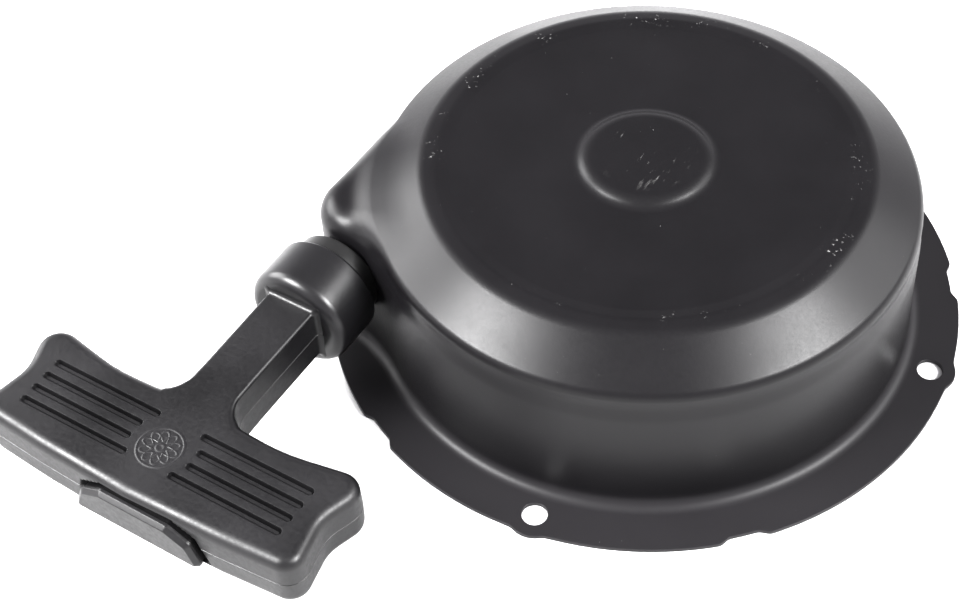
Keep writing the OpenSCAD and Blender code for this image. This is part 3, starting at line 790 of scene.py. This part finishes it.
def tube(name, centre, radius, closed=False, steps=28):
    """Round tube along a line of points; the radius may change along it."""
    centre = np.asarray(centre, float)
    ahead = np.roll(centre, -1, 0) - np.roll(centre, 1, 0)
    if not closed:
        ahead[0], ahead[-1] = centre[1] - centre[0], centre[-1] - centre[-2]
    ahead /= np.linalg.norm(ahead, axis=1)[:, None]
    side = np.cross(ahead, [0.13, 0.21, 0.97])
    side /= np.linalg.norm(side, axis=1)[:, None]
    up = np.cross(side, ahead)
    a = np.arange(steps) * 2 * math.pi / steps
    radius = np.broadcast_to(radius, len(centre))[:, None, None]
    round_line = side[:, None] * np.cos(a)[None, :, None] + up[:, None] * np.sin(a)[None, :, None]
    pts = centre[:, None] + radius * round_line
    faces = grid_faces(len(centre), steps)
    if closed:
        end = (len(centre) - 1) * steps
        faces += [(end + c, end + (c + 1) % steps, (c + 1) % steps, c) for c in range(steps)]
    else:
        faces += [tuple(range(steps)), tuple(range((len(centre) - 1) * steps, len(centre) * steps))]
    return make_object(name, pts.reshape(-1, 3), faces, sharp=60)


def overhand_knot(name, centre, way, size, radius, tail):
    """Three-lobed knot with a tail that runs off along `way`."""
    t = np.arange(0, 2 * math.pi, math.pi / 60)
    x, y = np.sin(t) + 2 * np.sin(2 * t), np.cos(t) - 2 * np.cos(2 * t)
    loop = np.stack([x, y, -1.1 * np.sin(3 * t)], -1)
    loop *= (size - radius) / 3.1
    turn = np.array(Vector((0, 0, 1)).rotation_difference(Vector(way)).to_matrix())
    knot = tube(name, loop @ turn.T + centre, radius, closed=True)
    way = np.array(way, float) / np.linalg.norm(way)
    steps = np.linspace(0, tail, 14)
    spread = 0.12 * smoothstep(steps, tail - 1.4, tail - 0.4)
    closing = 0.25 * smoothstep(steps, tail - 0.4, tail)
    end = tube(name + "_tail", np.array(centre) + steps[:, None] * way, radius * (1 + spread - closing))
    return knot, end


def run_of_rope():
    ys = np.concatenate([[-0.6, -0.75], np.arange(-1.2, -133.6, -1.2), [-134.1, -134.3]])
    return tube("rope_run", np.stack([0 * ys + ROPE_X, ys, 0 * ys + ROPE_Z], -1), ROPE_R, steps=40)


rope_from, rope_to = ((ROPE_X * MM, y, ROPE_Z * MM) for y in (-0.004, -0.128))
place(run_of_rope(), ("case", "handle", rope_from, rope_to), "rope_fibre_run", "rope_lead")
for piece in overhand_knot("handle_knot", (ROPE_X, -139.2, ROPE_Z), (0.5, -0.6, 0.5), 4.9, 2.0, 7.0):
    place(piece, "handle", "rope_fibre")
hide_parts("grip_knot")
KNOT_ANGLE = math.radians(135)
knot_out = Vector((math.cos(KNOT_ANGLE), math.sin(KNOT_ANGLE), 0))
knot_at = knot_out * 44.2 + Vector((0, 0, ROPE_Z))
for piece in overhand_knot("rope_end_knot", tuple(knot_at), tuple(knot_out), 4.4, 1.9, 7):
    place(piece, "drum", "rope_fibre")
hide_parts("drum_knot")

# ---------- CAD pieces with softened edges or their own shape ----------

def softened(node_name, body, finish, width, angle=32):
    """Copy of a CAD piece with its hard edges broken by a small bevel."""
    source = nodes[node_name]
    mesh = source.data.copy()
    bm = bmesh.new()
    bm.from_mesh(mesh)
    bmesh.ops.remove_doubles(bm, verts=bm.verts, dist=2e-7)
    bmesh.ops.dissolve_limit(bm, angle_limit=math.radians(0.6), verts=bm.verts, edges=bm.edges)
    bm.to_mesh(mesh)
    bm.free()
    obj = bpy.data.objects.new(node_name + "_piece", mesh)
    bpy.context.scene.collection.objects.link(obj)
    mesh.shade_smooth()
    mesh.set_sharp_from_angle(angle=math.radians(angle))
    bevel = obj.modifiers.new("edges", "BEVEL")
    bevel.width, bevel.segments, bevel.limit_method = width * MM, 2, "ANGLE"
    bevel.angle_limit = math.radians(angle)
    bevel.use_clamp_overlap = True
    obj.modifiers.new("normals", "WEIGHTED_NORMAL").keep_sharp = True
    return place(obj, body, finish, node_name)


SOFTENED = (
    ("thrust_washer", "case", "zinc_steel", 0.2), ("lock_washer", "case", "zinc_steel", 0.12),
    ("post_nut", "case", "zinc_steel", 0.35), ("guide_eyelet", "case", "zinc_steel", 0.15),
    ("center_post", "case", "machined_steel", 0.3), ("pawl_pins", "drum", "machined_steel", 0.25),
    ("pawl_a", "pawl_a", "machined_steel", 0.25), ("pawl_b", "pawl_b", "machined_steel", 0.25),
    ("drive_plate", "drive_plate", "zinc_steel", 0.2), ("knot_cup", "handle", "zinc_steel", 0.15),
    ("drum", "drum", "drum_nylon", 0.3),
)
for entry in SOFTENED:
    softened(*entry)

KEPT = {
    "guide_clip": "spring_steel", "wave_washer": "spring_steel", "recoil_spring": "spring_steel",
    "rope_coil": "rope_fibre_coil", "pawl_springs": "spring_steel",
}
for node_name, finish_name in KEPT.items():
    nodes[node_name].data.materials.clear()
    nodes[node_name].data.materials.append(FINISHES[finish_name])

# ---------- floor, light and camera ----------

TURN = math.radians(27.5)          # the camera's side of the object, from -Y
SKY_HORIZON = 2.2
SKY_FRONT_BACK = (1.45, 0.58)       # overhead strength towards the camera's side and away from it


def turned(v):
    return Matrix.Rotation(TURN, 3, "Z") @ Vector(v)


floor_mesh = bpy.data.meshes.new("floor")
floor_mesh.from_pydata([(-6, -6, 0), (6, -6, 0), (6, 6, 0), (-6, 6, 0)], [], [(0, 1, 2, 3)])
floor = bpy.data.objects.new("floor", floor_mesh)
floor.location.z = -0.0002
bpy.context.scene.collection.objects.link(floor)
table = surface("studio_table", (0.56, 0.56, 0.56), 0.8, tint=0.01, bump=0.0, specular=0.1)
floor_mesh.materials.append(table)

world = bpy.data.worlds.new("studio")
world.use_nodes = True
sky = world.node_tree
background = sky.nodes["Background"]
direction = add(sky, "ShaderNodeTexCoord").outputs["Generated"]
parts = add(sky, "ShaderNodeSeparateXYZ")
sky.links.new(direction, parts.inputs[0])
away = maths(sky, "ADD", maths(sky, "MULTIPLY", parts.outputs[0], -math.sin(TURN)),
             maths(sky, "MULTIPLY", parts.outputs[1], math.cos(TURN)))
overhead = remap(sky, away, 0.1, 0.68, *SKY_FRONT_BACK)
low_part = maths(sky, "MULTIPLY", remap(sky, parts.outputs[2], 0.0, 0.6, 1.0, 0.0), SKY_HORIZON)
high_part = maths(sky, "MULTIPLY", remap(sky, parts.outputs[2], 0.0, 0.6, 0.0, 1.0), overhead)
sky.links.new(maths(sky, "ADD", low_part, high_part), background.inputs["Strength"])
background.inputs["Color"].default_value = (1.0, 0.98, 1.02, 1)
bpy.context.scene.world = world


def softbox(name, azimuth, elevation, distance, width, height, power):
    """Area light aimed at the object; azimuth 0 is the camera's side and grows to its right."""
    a, e = math.radians(azimuth), math.radians(elevation)
    place_at = turned((math.sin(a) * math.cos(e), -math.cos(a) * math.cos(e), math.sin(e))) * distance
    data = bpy.data.lights.new(name, "AREA")
    data.shape, data.size, data.size_y, data.energy = "RECTANGLE", width, height, power
    light = bpy.data.objects.new(name, data)
    light.location = place_at
    light.rotation_euler = (-place_at).to_track_quat("-Z", "Y").to_euler()
    bpy.context.scene.collection.objects.link(light)


softbox("key_right", 68, 42, 1.6, 0.75, 0.5, 80)
softbox("key_left", -68, 42, 1.6, 0.7, 0.5, 96)
softbox("side_right", 108, 32, 1.6, 0.7, 0.8, 14)
softbox("side_left", -112, 24, 1.6, 0.9, 0.8, 44)

PAN, TILT, ROLL, LIFT = -0.08429, -0.00885, 0.03294, 0.84780
DISTANCE = 0.55339
SENSOR, LENS = 36.0, 71.06


def swung(a, b, angle):
    """Two square directions, turned towards each other in their own plane."""
    return a * math.cos(angle) + b * math.sin(angle), b * math.cos(angle) - a * math.sin(angle)


eye = Vector((0, -DISTANCE * math.cos(LIFT), DISTANCE * math.sin(LIFT)))
ahead = Vector((0, math.cos(LIFT), -math.sin(LIFT)))
right = Vector((1, 0, 0))
upward = Vector((0, math.sin(LIFT), math.cos(LIFT)))
ahead, right = swung(ahead, right, PAN)
ahead, upward = swung(ahead, upward, TILT)
right, upward = swung(right, upward, ROLL)
axes = Matrix([turned(right), turned(upward), turned(-ahead)]).transposed()
camera_data = bpy.data.cameras.new("camera")
camera_data.sensor_width, camera_data.lens = SENSOR, LENS
camera = bpy.data.objects.new("camera", camera_data)
camera.matrix_world = Matrix.Translation(turned(eye)) @ axes.to_4x4()
bpy.context.scene.collection.objects.link(camera)
bpy.context.scene.camera = camera
bpy.context.scene.view_settings.view_transform = "Standard"
bpy.context.scene.view_settings.gamma = 0.87
